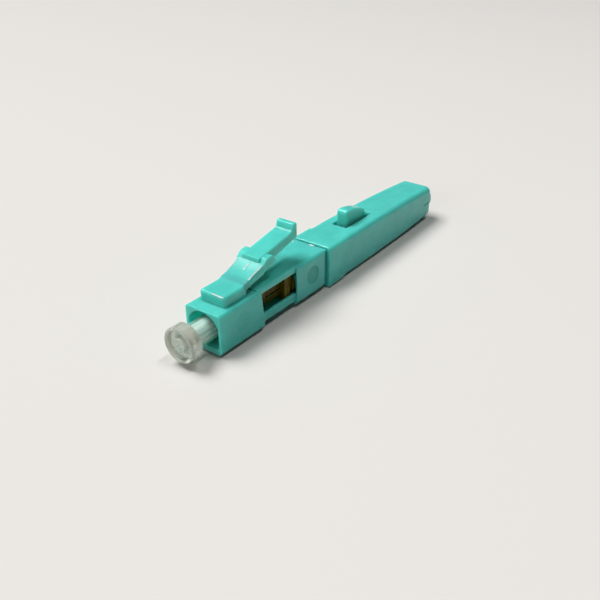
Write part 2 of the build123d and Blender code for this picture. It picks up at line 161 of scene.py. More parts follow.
# Colours painted on edges: a painted highlight on the ceramic, wear and a painted highlight on the
# steel
CERAMIC_EDGE_HIGHLIGHT = (0.93, 0.93, 0.90)
STEEL_EDGE_WEAR_AND_HIGHLIGHT = (0.78, 0.77, 0.74)
# Optical numbers of the finishes
MOULDED_IOR = 1.5
CLEAR_IOR = 1.46
CERAMIC_IOR = 1.9
AMBER_IOR = 1.45
DULL_SPECULAR = 0.2
# How much finer a pattern is along each axis than it would be without stretch
FLOW_STRETCH = (0.16, 1.0, 1.0)
SCUFF_STRETCH = (1.0, 1.6, 0.8)
GROUND_STRETCH = (30.0, 0.2, 0.2)
TURNED_STRETCH = (26.0, 0.4, 0.4)
AMBER_STRETCH = (0.3, 1.0, 1.0)

# Added meshes: the angle from which a corner stays crisp, and sides of the spring's wire
CREASE = radians(35.0)
WIRE_SIDES = 12

# Floor: its radius and how far it lies below the plug, in metres
FLOOR_RADIUS = 1.2
FLOOR_GAP = 0.00002
FLOOR_SIDES = 96
# Lights: name, setting for the power, size, and place from the plug's middle, in metres
LAMPS = (
    ("key_light", "key", (0.80, 0.60), (-0.20, 0.54, 1.12)),
    ("front_light", "front", (0.40, 0.30), (-0.64, 0.0, 0.20)),
    ("top_glint", "glint", (0.11, 0.02), (0.028, -0.10, 0.36)),
)
# Camera: place and clipping in metres, turn in degrees, lens and sensor in millimetres
CAMERA_PLACE = (-0.0461661, -0.0476707, 0.0415923)
CAMERA_TURN = (59.7504, 0.6895, -52.7834)
CAMERA_LENS = 47.257
CAMERA_SENSOR = 36.0
CAMERA_CLIP = (0.001, 10.0)


# ---------------------------------------------------------------- sizes and colours


def colour(name, description, default):
    """A linear colour that a user can change."""
    return FloatVectorProperty(
        name=name, description=description, default=default,
        subtype="COLOR", size=3, min=0.0, max=1.0)


def length(name, description, default):
    """A length in metres that a user can change."""
    return FloatProperty(
        name=name, description=description, default=default,
        unit="LENGTH", min=0.0, precision=6)


def share(name, description, default):
    """A share from 0 to 1 that a user can change."""
    return FloatProperty(
        name=name, description=description, default=default,
        subtype="FACTOR", min=0.0, max=1.0)


def power(name, default):
    """The power of a light that a user can change."""
    return FloatProperty(
        name=name, description="Power in watts", default=default, unit="POWER", min=0.0)


class MouldedPlasticSettings(bpy.types.PropertyGroup):
    """The aqua plastic of the housing, latch, inner body, button, sleeve and clamp."""

    body: colour("Body", "Colour of the moulded plastic", (0.075, 0.50, 0.44))
    # Pale tone of the flow streaks and the edges; on the edges it is partly wear, partly a painted
    # highlight
    pale_tone_and_edge_sheen: colour("Worn edge", "Colour where handling has polished the edges", (0.17, 0.64, 0.56))
    # Corner colour: painted shade in tight corners and creases, also used to darken the side marks
    deep: colour("Corner", "Colour in tight corners, where light soaks through", (0.0, 0.33, 0.25))
    corner: length("Corner reach", "How far from a wall that colour begins", 0.0005)
    roughness: share("Roughness", "Roughness of the moulded skin", 0.18)
    specular: share("Specular level", "Strength of the skin's reflections", 0.30)
    depth: share("Translucency", "Share of the light that scatters below the skin", 0.70)
    grain: length("Grain", "Width of one grain of the mould's texture", 0.00009)
    edge: length("Edge rounding", "Rounding that the light sees on sharp edges", 0.00012)
    mark_place: length("Mark place", "Distance of the sleeve's round mark from the front", 0.0313)
    mark_radius: length("Mark radius", "Radius of that round mark", 0.0017)
    mark_width: length("Mark width", "Half width of that mark's line", 0.00012)
    # Strength of the painted shade on the round side marks
    side_mark_shade: share("Side mark tone", "How much darker the round marks on the sides are", 0.65)


class DustCapSettings(bpy.types.PropertyGroup):
    """The clear cap over the ferrule."""

    tint: colour("Tint", "Colour of the clear plastic", (0.70, 0.73, 0.63))
    roughness: share("Roughness", "How cloudy the clear plastic is", 0.08)
    coat: share("Gloss", "Strength of the sharp reflections on its skin", 1.0)
    milk: share("Milkiness", "Share of the head that is milky", 0.38)
    body: share("Body", "Share of the light that the thick head holds back", 0.92)
    streaks: FloatProperty(
        name="Streaks", description="Streaks along the tube per radian", default=1.7, min=0.0)
    streak_milk: share("Milky streaks", "How clear the milky streaks are", 0.3)
    streak_clear: share("Clear streaks", "How clear the clear streaks are", 0.76)
    tube: share("Tube", "Share of the light that the thin tube holds back", 0.74)
    tube_tint: colour("Tube tint", "Colour of the thin tube", (0.78, 1.0, 0.91))
    tube_roughness: share("Tube roughness", "Roughness of the thin tube", 0.04)
    edge: length("Edge rounding", "Rounding that the light sees on the cap's rims", 0.00014)
    # Rim colour: a painted highlight along the cap's edges
    rim: colour("Rim", "Colour of the cap's edges, where light gathers", (0.96, 0.99, 0.95))
    # Ring colour: painted shade deep in the face's ring, where its walls close in
    ring_shade: colour("Groove", "Colour deep in the face's ring", (0.30, 0.37, 0.34))
    ring_shade_reach: length("Groove reach", "How far from a wall the ring looks deep", 0.0003)


class FerruleSettings(bpy.types.PropertyGroup):
    """The ceramic ferrule, its steel flange, the splice's clips and the bare fibre."""

    ceramic: colour("Ceramic", "Colour of the polished ceramic", (0.86, 0.85, 0.80))
    steel: colour("Steel", "Colour of the turned steel", (0.22, 0.20, 0.13))
    clip: colour("Clip", "Colour of the clips' straw-tempered steel", (0.13, 0.095, 0.025))
    steel_roughness: share("Steel roughness", "Roughness of the turned steel", 0.28)
    glass: colour("Glass", "Colour of the bare fibre", (0.92, 0.96, 0.95))


class SpliceSettings(bpy.types.PropertyGroup):
    """The dark amber splice that shows in the housing's side windows."""

    amber: colour("Amber", "Colour of the splice's plastic", (0.12, 0.09, 0.004))
    # Edge colour: a painted highlight on the splice's edges
    edge_highlight: colour("Glow", "Colour of the edges, where light comes through", (0.45, 0.33, 0.03))
    # Seam colour: painted shade in the seam between the splice's base and covers
    seam: colour("Seam", "Colour along the lengthwise seam", (0.006, 0.005, 0.001))
    seam_half: length("Seam half width", "How far from the seam's middle it is dark", 0.00006)
    roughness: share("Roughness", "Roughness of the splice's plastic", 0.25)


class ReturnSpringSettings(bpy.types.PropertyGroup):
    """The coil spring behind the splice's seat."""

    wire: length("Wire radius", "Radius of the spring's wire", 0.00012)
    mean: length("Coil radius", "Radius of the coil at the middle of its wire", 0.00143)
    turns: FloatProperty(
        name="Turns", description="Open turns between the closed ends", default=4.0, min=1.0)
    steel: colour("Steel", "Colour of the spring wire", (0.50, 0.49, 0.46))
    roughness: share("Roughness", "Roughness of the spring wire", 0.3)


class MouldDetailSettings(bpy.types.PropertyGroup):
    """Low ridges on the latch and pad and a neck dome, pale as painted highlights, and the skin
    over the root.
    """

    ridge_width: length("Ridge width", "Width of the low ridges", 0.00016)
    ridge_height: length("Ridge height", "How far the ridges stand up", 0.00006)
    # The dome's height, and the pale colour of the ridges and the dome, which is a painted
    # highlight
    neck_dome_height: length("Gate mark height", "Height of the gate mark's dome", 0.00014)
    pale: colour("Pale colour", "Colour of the ridges and the gate mark", (0.48, 0.92, 0.86))
    polish: share("Pale roughness", "Roughness of the ridges and the gate mark", 0.10)
    specular: share("Pale specular level", "Strength of their reflections", 0.9)
    skin_height: length("Skin height", "How far the skin over the latch's root stands up", 0.000001)
    skin_melt: length("Skin melt", "How deep the skin's ends sink into the latch", 0.00004)


class StageSettings(bpy.types.PropertyGroup):
    """The floor and the lights."""

    floor: colour("Floor", "Colour of the floor", (0.58, 0.565, 0.54))
    key: power("Key light", 20.5)
    front: power("Front light", 0.95)
    glint: power("Glint light", 0.38)
    sky: FloatProperty(name="Sky", description="Strength of the even light", default=0.06, min=0.0)


class PlugSettings(bpy.types.PropertyGroup):
    """Everything that a user would change on the fibre plug."""

    plastic: PointerProperty(type=MouldedPlasticSettings)
    cap: PointerProperty(type=DustCapSettings)
    ferrule: PointerProperty(type=FerruleSettings)
    splice: PointerProperty(type=SpliceSettings)
    spring: PointerProperty(type=ReturnSpringSettings)
    mould: PointerProperty(type=MouldDetailSettings)
    stage: PointerProperty(type=StageSettings)


# ---------------------------------------------------------------- node helpers


def set_inputs(tree, node, inputs):
    """Link or fill a node's inputs, given by name or number."""
    for name, value in inputs.items():
        if isinstance(value, bpy.types.NodeSocket):
            tree.links.new(value, node.inputs[name])
        else:
            node.inputs[name].default_value = value


def add_node(tree, kind, inputs=None, **settings):
    """Add one node, set it up, and link or fill its inputs."""
    node = tree.nodes.new(kind)
    for name, value in settings.items():
        setattr(node, name, value)
    set_inputs(tree, node, inputs or {})
    return node


def new_material(name):
    """A node material with a Principled shader linked to its output."""
    material = bpy.data.materials.new(name)
    material.use_nodes = True
    tree = material.node_tree
    tree.nodes.clear()
    shader = add_node(tree, "ShaderNodeBsdfPrincipled")
    add_node(tree, "ShaderNodeOutputMaterial", {"Surface": shader.outputs[0]})
    return material, tree, shader


def object_millimetres(tree, stretch=(1.0, 1.0, 1.0)):
    """Object coordinates in millimetres, stretched along each axis."""
    place = add_node(tree, "ShaderNodeTexCoord")
    scale = [axis / MM for axis in stretch]
    mapping = add_node(
        tree, "ShaderNodeMapping", {"Vector": place.outputs["Object"], "Scale": scale})
    return mapping.outputs[0]


def split_place(tree):
    """X, Y and Z of the Object coordinates, in metres."""
    place = add_node(tree, "ShaderNodeTexCoord").outputs["Object"]
    return add_node(tree, "ShaderNodeSeparateXYZ", {"Vector": place}).outputs


def noise(tree, place, scale, detail, roughness, distortion=0.0):
    """Value of a noise texture, from 0 to 1."""
    texture = add_node(
        tree, "ShaderNodeTexNoise",
        {"Vector": place, "Scale": scale, "Detail": detail,
         "Roughness": roughness, "Distortion": distortion})
    return texture.outputs[0]


def remap(tree, value, low, high, start=0.0, end=1.0):
    """Value between low and high, spread evenly from start to end."""
    node = add_node(
        tree, "ShaderNodeMapRange",
        {"Value": value, "From Min": low, "From Max": high, "To Min": start, "To Max": end})
    return node.outputs[0]


def spread(tree, value, start=0.0, end=1.0):
    """The middle part of a noise's values, spread evenly from start to end."""
    return remap(tree, value, NOISE_LOW, NOISE_HIGH, start, end)


def scaled(colour_value, factor):
    """A colour made darker or lighter by a factor."""
    return [factor * part for part in colour_value]


def mix_colours(tree, factor, first, second):
    """Colour between two colours, each given as a socket or as its three parts."""
    # On this node 0 is the factor, 6 and 7 are the colours, and output 2 is their mix.
    ends = [
        value if isinstance(value, bpy.types.NodeSocket) else (*value, 1.0)
        for value in (first, second)]
    node = add_node(
        tree, "ShaderNodeMix", {0: factor, 6: ends[0], 7: ends[1]}, data_type="RGBA")
    return node.outputs[2]


def mix_numbers(tree, factor, first, second):
    """Number between two numbers."""
    # On this node 0 is the factor, and 2 and 3 are the numbers.
    return add_node(tree, "ShaderNodeMix", {0: factor, 2: first, 3: second}).outputs[0]


def maths(tree, operation, first, second):
    """One step of arithmetic on two numbers."""
    return add_node(tree, "ShaderNodeMath", {0: first, 1: second}, operation=operation).outputs[0]


def without_sign(tree, value):
    """Size of a number, whatever its sign."""
    return add_node(tree, "ShaderNodeMath", {0: value}, operation="ABSOLUTE").outputs[0]


def flat_distance(tree, first, second):
    """Length of the flat vector with these two parts."""
    away = add_node(tree, "ShaderNodeCombineXYZ", {"X": first, "Y": second})
    far = add_node(tree, "ShaderNodeVectorMath", {0: away.outputs[0]}, operation="LENGTH")
    return far.outputs["Value"]


def soft_edges(tree, radius):
    """Normal with its sharp edges rounded, and how near an edge each place is."""
    bevel = add_node(tree, "ShaderNodeBevel", {"Radius": radius}, samples=SHADER_SAMPLES)
    shape = add_node(tree, "ShaderNodeNewGeometry")
    facing = add_node(
        tree, "ShaderNodeVectorMath",
        {0: bevel.outputs[0], 1: shape.outputs["Normal"]}, operation="DOT_PRODUCT")
    return bevel.outputs[0], remap(tree, facing.outputs["Value"], *EDGE_FACING)


def open_sky(tree, reach):
    """Share of the view outwards that is free of walls nearer than reach."""
    node = add_node(
        tree, "ShaderNodeAmbientOcclusion", {"Distance": reach}, samples=SHADER_SAMPLES)
    return node.outputs["AO"]


def bump(tree, height, normal, depth):
    """Normal roughened by a height, with the depth in metres at height 1."""
    node = add_node(
        tree, "ShaderNodeBump",
        {"Height": height, "Normal": normal, "Distance": depth, "Strength": 1.0})
    return node.outputs[0]


# ---------------------------------------------------------------- finishes


def moulded_plastic(name, settings, body, roughness, specular):
    """Glossy aqua plastic: fine mould grain, faint flow streaks, polished edges with a painted
    highlight, painted corner shade.
    """
    material, tree, shader = new_material(name)
    place = object_millimetres(tree)
    flow_place = object_millimetres(tree, FLOW_STRETCH)
    normal, edge = soft_edges(tree, settings.edge)
    openness = open_sky(tree, settings.corner)

    clouds = noise(tree, place, scale=0.45, detail=4.0, roughness=0.55)
    flow = noise(tree, flow_place, scale=1.9, detail=3.0, roughness=0.6, distortion=0.4)
    tone = mix_colours(
        tree, remap(tree, clouds, 0.35, 0.65), scaled(body, 0.94), scaled(body, 1.05))
    tone = mix_colours(tree, remap(tree, flow, 0.45, 0.75, end=0.12), tone, settings.pale_tone_and_edge_sheen)
    # Painted shade: darker towards the corner colour where walls close in
    tone = mix_colours(tree, remap(tree, openness, 0.7, 0.2, end=0.6), tone, settings.deep)
    # Painted shade: the round side marks darkened towards the corner colour
    for mark, strength in SIDE_MARKS:
        disc = side_mark(tree, mark, strength * settings.side_mark_shade)
        tone = mix_colours(tree, disc, tone, settings.deep)
    # Edges lightened, partly wear and partly a painted highlight, kept off concave corners
    edge_wear_and_sheen = maths(tree, "MULTIPLY", edge, remap(tree, openness, 0.55, 0.85))
    tone = mix_colours(tree, maths(tree, "MULTIPLY", edge_wear_and_sheen, 0.45), tone, settings.pale_tone_and_edge_sheen)

    patches = noise(tree, place, scale=1.3, detail=3.0, roughness=0.6)
    rough = maths(
        tree, "SUBTRACT", spread(tree, patches, 0.8 * roughness, 1.4 * roughness),
        maths(tree, "MULTIPLY", edge_wear_and_sheen, 0.5 * roughness))

    relief = noise(tree, place, scale=MM / settings.grain, detail=2.0, roughness=0.6)
    swell = noise(tree, place, scale=0.8, detail=2.0, roughness=0.5)
    for height, weight in ((swell, 3.0), (flow, 1.2), (top_mark(tree, settings), 10.0)):
        relief = maths(tree, "ADD", relief, maths(tree, "MULTIPLY", height, weight))

    set_inputs(tree, shader, {
        "Base Color": tone,
        "Roughness": rough,
        "Normal": bump(tree, relief, normal, depth=0.0000025),
        "Subsurface Weight": settings.depth,
        "Subsurface Radius": (0.35, 1.0, 0.85),
        "Subsurface Scale": 0.0016,
        "IOR": MOULDED_IOR,
        "Specular IOR Level": specular,
    })
    return material


def top_mark(tree, settings):
    """Height of the faint round line that a mould's pin leaves on top of the sleeve."""
    parts = split_place(tree)
    far = flat_distance(
        tree, maths(tree, "SUBTRACT", parts["X"], settings.mark_place), parts["Y"])
    off = without_sign(tree, maths(tree, "SUBTRACT", far, settings.mark_radius))
    ring = remap(tree, off, settings.mark_width, 0.0)
    return maths(tree, "MULTIPLY", ring, remap(tree, parts["Z"], *SLEEVE_TOP))


def side_mark(tree, mark, darkest):
    """How far a round mark on the sides is darkened by painted shade, from 0 to darkest."""
    x, z, radius = mark
    parts = split_place(tree)
    far = flat_distance(
        tree, maths(tree, "SUBTRACT", parts["X"], x * MM),
        maths(tree, "SUBTRACT", parts["Z"], z * MM))
    disc = remap(tree, far, radius * MM, (radius - MARK_RIM) * MM, end=darkest)
    return maths(
        tree, "MULTIPLY", disc, remap(tree, without_sign(tree, parts["Y"]), *OUTER_SIDES))


def cloudy_clear_plastic(settings):
    """Clear plastic: a cloudy, scuffed head with painted shade in its face's ring and a painted
    highlight on its edges, and a thin streaky tube.
    """
    material, tree, shader = new_material("cloudy_clear_plastic")
    place = object_millimetres(tree)
    normal, edge = soft_edges(tree, settings.edge)
    tube = remap(tree, split_place(tree)["X"], *CAP_TUBE)

    clouds = noise(tree, place, scale=0.5, detail=2.0, roughness=0.4)
    tone = mix_colours(tree, spread(tree, clouds), scaled(settings.tint, 0.96), settings.tint)
    # Painted shade: the face's ring darkened where its walls close in
    open_face = remap(tree, open_sky(tree, settings.ring_shade_reach), 0.45, 0.95)
    tone = mix_colours(tree, open_face, settings.ring_shade, tone)
    # Painted highlight: the cap's edges lightened towards the rim colour
    tone = mix_colours(tree, maths(tree, "MULTIPLY", edge, 0.8), tone, settings.rim)

    scuff_place = object_millimetres(tree, SCUFF_STRETCH)
    scuffs = noise(tree, scuff_place, scale=0.9, detail=2.0, roughness=0.5)
    rough = spread(tree, scuffs, settings.roughness - 0.04, settings.roughness + 0.06)
    swell = noise(tree, place, scale=0.7, detail=1.0, roughness=0.4)

    set_inputs(tree, shader, {
        "Base Color": mix_colours(tree, tube, tone, settings.tube_tint),
        "Roughness": mix_numbers(tree, tube, rough, settings.tube_roughness),
        "Normal": bump(tree, swell, normal, depth=0.000006),
        "Transmission Weight": mix_numbers(
            tree, tube, 1.0 - settings.milk, flow_lines(tree, settings)),
        "Alpha": mix_numbers(tree, tube, settings.body, settings.tube),
        "IOR": CLEAR_IOR,
        "Coat Weight": settings.coat,
        "Coat Roughness": 0.05,
    })
    return material


def flow_lines(tree, settings):
    """How clear the thin tube is from place to place round it, in long streaks."""
    parts = split_place(tree)
    turn = maths(tree, "ARCTAN2", parts["Y"], parts["Z"])
    lines = add_node(
        tree, "ShaderNodeTexNoise", {"W": turn, "Scale": settings.streaks},
        noise_dimensions="1D")
    return remap(
        tree, lines.outputs[0], 0.42, 0.58, settings.streak_milk, settings.streak_clear)


def polished_ceramic(settings):
    """White ceramic, ground and polished, with hairline grinding rings."""
    material, tree, shader = new_material("polished_white_ceramic")
    normal, edge = soft_edges(tree, FINE_EDGE)
    clouds = noise(tree, object_millimetres(tree), scale=1.6, detail=3.0, roughness=0.5)
    tone = mix_colours(tree, clouds, scaled(settings.ceramic, 0.96), settings.ceramic)
    # Painted highlight: the ceramic's edges lightened
    tone = mix_colours(tree, maths(tree, "MULTIPLY", edge, 0.4), tone, CERAMIC_EDGE_HIGHLIGHT)
    ring_place = object_millimetres(tree, GROUND_STRETCH)
    rings = noise(tree, ring_place, scale=1.0, detail=2.0, roughness=0.7)
    set_inputs(tree, shader, {
        "Base Color": tone,
        "Roughness": spread(tree, rings, 0.08, 0.18),
        "Normal": bump(tree, rings, normal, depth=0.0000008),
        "Subsurface Weight": 0.25,
        "Subsurface Radius": (1.0, 0.9, 0.8),
        "Subsurface Scale": 0.0003,
        "IOR": CERAMIC_IOR,
    })
    return material


def turned_steel(name, tint, roughness):
    """Steel with the rings that turning leaves, a little duller in patches."""
    material, tree, shader = new_material(name)
    normal, edge = soft_edges(tree, FINE_EDGE)
    ring_place = object_millimetres(tree, TURNED_STRETCH)
    rings = noise(tree, ring_place, scale=1.0, detail=2.0, roughness=0.7)
    stain = noise(tree, object_millimetres(tree), scale=1.2, detail=4.0, roughness=0.6)
    tone = mix_colours(tree, stain, scaled(tint, 0.82), tint)
    # Edges lightened, partly wear and partly a painted highlight
    set_inputs(tree, shader, {
        "Base Color": mix_colours(
            tree, maths(tree, "MULTIPLY", edge, 0.6), tone, STEEL_EDGE_WEAR_AND_HIGHLIGHT),
        "Roughness": spread(tree, stain, roughness - 0.06, roughness + 0.1),
        "Normal": bump(tree, rings, normal, depth=0.000002),
        "Metallic": 1.0,
    })
    return material


def bare_glass(settings):
    """Bare glass fibre, clear, with the faintest dust on it."""
    material, tree, shader = new_material("bare_fibre_glass")
    dust = noise(tree, object_millimetres(tree), scale=14.0, detail=2.0, roughness=0.6)
    normal = add_node(tree, "ShaderNodeNewGeometry").outputs["Normal"]
    set_inputs(tree, shader, {
        "Base Color": mix_colours(
            tree, remap(tree, dust, *DUST_RANGE), settings.glass, scaled(settings.glass, 0.9)),
        "Roughness": remap(tree, dust, *DUST_RANGE, start=0.02, end=0.12),
        "Normal": bump(tree, dust, normal, depth=0.0000004),
        "Transmission Weight": 0.85,
        "IOR": CLEAR_IOR,
    })
    return material


def amber_plastic(settings):
    """Dark amber plastic with a painted highlight on its edges and a line of painted shade along
    the splice's seam.
    """
    material, tree, shader = new_material("dark_amber_plastic")
    normal, edge = soft_edges(tree, AMBER_EDGE)
    cloud_place = object_millimetres(tree, AMBER_STRETCH)
    clouds = noise(tree, cloud_place, scale=0.6, detail=2.0, roughness=0.5, distortion=0.3)
    tone = mix_colours(tree, spread(tree, clouds), settings.amber, scaled(settings.amber, 0.75))
    # Painted highlight: the splice's edges lightened
    tone = mix_colours(tree, edge, tone, settings.edge_highlight)
    # Painted shade: a dark line along the seam on the splice's sides
    parts = split_place(tree)
    on_side = remap(tree, without_sign(tree, parts["Y"]), *SPLICE_SIDES)
    seam_shade = remap(
        tree, without_sign(tree, parts["Z"]), 2.0 * settings.seam_half, settings.seam_half)
    seam = maths(tree, "MULTIPLY", on_side, seam_shade)
    haze = noise(tree, object_millimetres(tree), scale=1.5, detail=2.0, roughness=0.5)
    set_inputs(tree, shader, {
        "Base Color": mix_colours(tree, seam, tone, settings.seam),
        "Roughness": spread(tree, haze, settings.roughness - 0.05, settings.roughness + 0.08),
        "Normal": bump(tree, haze, normal, depth=0.000003),
        "Subsurface Weight": 0.3,
        "Subsurface Radius": (1.0, 0.6, 0.1),
        "Subsurface Scale": 0.0004,
        "IOR": AMBER_IOR,
        "Specular IOR Level": DULL_SPECULAR,
    })
    return material


def pale_floor(settings):
    """Plain pale card for the floor, with a soft tooth."""
    material, tree, shader = new_material("pale_card_floor")
    tooth = noise(tree, object_millimetres(tree), scale=1.5, detail=3.0, roughness=0.6)
    set_inputs(tree, shader, {
        "Base Color": mix_colours(tree, tooth, scaled(settings.floor, 0.985), settings.floor),
        "Roughness": spread(tree, tooth, 0.8, 0.9),
        "Specular IOR Level": DULL_SPECULAR,
    })
    return material


# ---------------------------------------------------------------- mesh helpers


def dress(names, material):
    """Give CAD nodes one material, in every slot they have."""
    for name in names:
        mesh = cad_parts[name].data
        if not mesh.materials:
            mesh.materials.append(material)
        for slot in range(len(mesh.materials)):
            mesh.materials[slot] = material


def new_piece(name, build):
    """A linked mesh object at the origin, filled by build, a function of a bmesh."""
    mesh = bpy.data.meshes.new(name)
    shape = bmesh.new()
    build(shape)
    bmesh.ops.recalc_face_normals(shape, faces=shape.faces)
    shape.to_mesh(mesh)
    shape.free()
    piece = bpy.data.objects.new(name, mesh)
    bpy.context.scene.collection.objects.link(piece)
    return piece


def soften(piece):
    """Shade a piece smooth, but keep its real corners crisp."""
    piece.data.shade_smooth()
    piece.data.set_sharp_from_angle(angle=CREASE)


def tree_with_sockets(name, sockets):
    """A geometry node tree with named inputs, given as (name, type, default)."""
    tree = bpy.data.node_groups.new(name, "GeometryNodeTree")
    tree.interface.new_socket("Geometry", in_out="OUTPUT", socket_type="NodeSocketGeometry")
    for label, kind, default in sockets:
        socket = tree.interface.new_socket(label, in_out="INPUT", socket_type=kind)
        if default is not None:
            socket.default_value = default
    start = tree.nodes.new("NodeGroupInput")
    return tree, start


def finish_tree(tree, start, geometry):
    """End a tree in Realize Instances and Set Material, shaded smooth."""
    smooth = add_node(tree, "GeometryNodeSetShadeSmooth", {"Geometry": geometry})
    real = add_node(tree, "GeometryNodeRealizeInstances", {"Geometry": smooth.outputs[0]})
    painted = add_node(
        tree, "GeometryNodeSetMaterial",
        {"Geometry": real.outputs[0], "Material": start.outputs["Material"]})
    add_node(tree, "NodeGroupOutput", {"Geometry": painted.outputs[0]})


def piece_from_tree(name, tree, values):
    """Run a geometry node tree on an empty mesh and keep the result as a plain mesh."""
    piece = bpy.data.objects.new(name, bpy.data.meshes.new(name))
    bpy.context.scene.collection.objects.link(piece)
    modifier = piece.modifiers.new(tree.name, "NODES")
    modifier.node_group = tree
    for item in tree.interface.items_tree:
        if item.in_out == "INPUT" and item.name in values:
            modifier[item.identifier] = values[item.name]
    depsgraph = bpy.context.evaluated_depsgraph_get()
    made = bpy.data.meshes.new_from_object(piece.evaluated_get(depsgraph), depsgraph=depsgraph)
    piece.modifiers.remove(modifier)
    if not made.polygons:
        raise RuntimeError(f"{name}: its geometry nodes made no faces")
    piece.data = made
    made.name = name
    return piece


def bridge_loops(shape, loops):
    """Join loops of points, given in millimetres, into one closed skin with flat ends."""
    rings = [[shape.verts.new(Vector(point) * MM) for point in loop] for loop in loops]
    count = len(rings[0])
    for first, second in zip(rings, rings[1:]):
        for step in range(count):
            after = (step + 1) % count
            shape.faces.new((first[step], first[after], second[after], second[step]))
    shape.faces.new(rings[0][::-1])
    shape.faces.new(rings[-1])


def rise_place(x):
    """Height and upward direction of the latch's concave rise at x, in millimetres."""
    if x <= RISE_START[0]:
        return RISE_START[1], Vector((0, 0, 1))
    centre, radius = rise_circle()
    height = centre[1] - (radius**2 - (x - centre[0]) ** 2) ** 0.5
    towards = Vector((centre[0] - x, 0, centre[1] - height))
    return height, towards.normalized()


def rise_circle():
    """Centre and radius of the circle through the rise's start, middle and end."""
    (ax, az), (bx, bz), (cx, cz) = RISE_START, RISE_MIDDLE, RISE_END
    across = 2 * (ax * (bz - cz) + bx * (cz - az) + cx * (az - bz))
    a, b, c = ax * ax + az * az, bx * bx + bz * bz, cx * cx + cz * cz
    x = (a * (bz - cz) + b * (cz - az) + c * (az - bz)) / across
    z = (a * (cx - bx) + b * (ax - cx) + c * (bx - ax)) / across
    return (x, z), ((x - ax) ** 2 + (z - az) ** 2) ** 0.5


def rim_half(x):
    """Half width of the latch at x, in millimetres, along its flare to the ears."""
    along = (x - FLARE_START) / (RISE_END[0] - FLARE_START)
    return LATCH_HALF + (EAR_HALF - LATCH_HALF) * min(max(along, 0.0), 1.0)


def ridge(shape, ends, place, settings):
    """Low half-round ridge between two ends, where it tapers to nothing."""
    start, end = ends
    half = settings.ridge_width / MM / 2
    angles = [pi * step / RIDGE_ARC_STEPS for step in range(RIDGE_ARC_STEPS + 1)]
    loops = []
    for step in range(RIDGE_STEPS + 1):
        along = step / RIDGE_STEPS
        base, up, side = place(start + (end - start) * along)
        crown = settings.ridge_height / MM * sin(pi * along) ** 0.5
        section = [
            base + side * (half * cos(angle)) + up * (crown * sin(angle)) for angle in angles]
        section.append(base - side * half - up * ROOT_DEPTH)
        section.append(base + side * half - up * ROOT_DEPTH)
        loops.append(section)
    bridge_loops(shape, loops)


def gate_mark(shape, settings):
    """Smooth low oval dome on the neck, whose pale colour is a painted highlight."""
    x, y, floor = NECK_DOME_PLACE
    along, across = NECK_DOME_HALF

    def oval(share_left, height):
        angles = [2 * pi * step / NECK_DOME_TURN_STEPS for step in range(NECK_DOME_TURN_STEPS)]
        return [
            (x + along * share_left * cos(angle), y + across * share_left * sin(angle), height)
            for angle in angles]

    loops = [oval(1.0, floor - ROOT_DEPTH)]
    for step in range(NECK_DOME_RISE_STEPS):
        rise = pi / 2 * step / NECK_DOME_RISE_STEPS
        loops.append(oval(cos(rise), floor + settings.neck_dome_height / MM * sin(rise)))
    bridge_loops(shape, loops)


def middle_place(x):
    """Place on the middle of the rise, with its upward and sideways directions."""
    height, up = rise_place(x)
    return Vector((x, MIDDLE_RIDGE_Y, height)), up, Vector((0, 1, 0))


def pad_place(y):
    """Place on the rounded front edge of the pad, with its outward and sideways directions."""
    x, z, radius = PAD_EDGE
    outward = Vector(PAD_OUTWARD)
    return Vector((x, y, z)) + outward * radius, outward, Vector(PAD_SIDEWAYS)


def rim_place(x, side):
    """Place on the rounded rim of the rise, with its outward and sideways directions."""
    height, up = rise_place(x)
    across = Vector((0, side, 0))
    centre = Vector((x, side * (rim_half(x) - LATCH_ROUND), height)) - up * LATCH_ROUND
    outward = up * cos(RIM_LEAN) + across * sin(RIM_LEAN)
    sideways = across * cos(RIM_LEAN) - up * sin(RIM_LEAN)
    return centre + outward * LATCH_ROUND, outward, sideways


def root_skin(shape, settings):
    """Skin over the joint between the pad and the rise, flush with both."""
    loops = []
    start, end = SKIN_FLAT[0] - SKIN_MELT, SKIN_FLAT[1] + SKIN_MELT
    for step in range(SKIN_STEPS + 1):
        x = start + (end - start) * step / SKIN_STEPS
        height, up = rise_place(x)
        base = Vector((x, 0, height))
        melt = max(SKIN_FLAT[0] - x, x - SKIN_FLAT[1], 0.0) / SKIN_MELT
        outer = skin_section(base, up, (settings.skin_height - settings.skin_melt * melt**2) / MM)
        inner = skin_section(base, up, -SKIN_DEPTH)
        loops.append(outer + inner[::-1])
    bridge_loops(shape, loops)


def skin_section(base, up, stand):
    """Line across the latch and round its top corners, standing off its surface."""
    across = Vector((0, 1, 0))
    points = []
    for side in (-1, 1):
        corner = []
        for turn in range(SKIN_CORNER_STEPS + 1):
            angle = pi / 2 * turn / SKIN_CORNER_STEPS
            out = LATCH_HALF - LATCH_ROUND + (LATCH_ROUND + stand) * sin(angle)
            rise = -LATCH_ROUND + (LATCH_ROUND + stand) * cos(angle)
            corner.append(base + across * (side * out) + up * rise)
        corner.append(base + across * (side * (LATCH_HALF + stand)) - up * SKIN_SIDE)
        points.extend(corner[::-1] if side < 0 else corner)
    return points


# ---------------------------------------------------------------- geometry node trees


